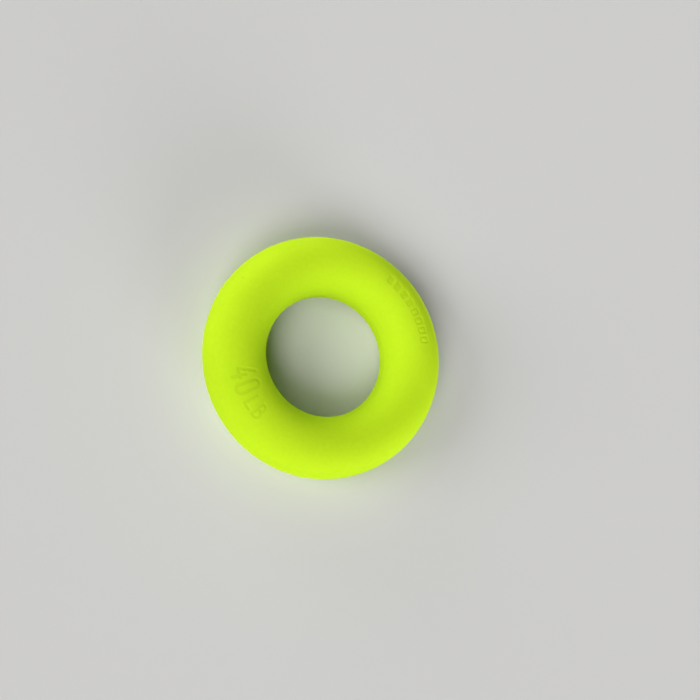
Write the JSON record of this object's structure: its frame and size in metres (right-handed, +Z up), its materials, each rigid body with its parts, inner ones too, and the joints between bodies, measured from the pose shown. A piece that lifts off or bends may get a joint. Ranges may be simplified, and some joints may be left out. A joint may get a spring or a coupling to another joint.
{
  "type": "hand grip exercise ring",
  "caption": "Soft solid rubber ring that is squeezed in the hand, with a finger hole, a recessed resistance rating and a recessed level gauge.",
  "frame": {"origin": "centre of the ring, at the level it rests on", "axes": "+Z up along the ring's axis; +X the side that bears on the palm; -X the side the fingers pull; -Y the side with the recessed rating, whose reader stands at -Y; +Y the side with the level gauge"},
  "size_m": [0.07, 0.07, 0.0175],
  "materials": {
    "silicone": "matte, fine moulded texture, soft sheen"
  },
  "bodies": {
    "palm_side": {"palm_arc": "silicone", "front_bow": "silicone", "rear_bow": "silicone"},
    "finger_side": {"finger_arc": "silicone"}
  },
  "joints": [
    {"name": "squeeze", "type": "slide", "parent": "palm_side", "child": "finger_side", "axis": [1, 0, 0], "range_m": [0, 0.026], "stiffness_N_per_m": 7000, "deforming": ["front_bow", "rear_bow"]}
  ]
}
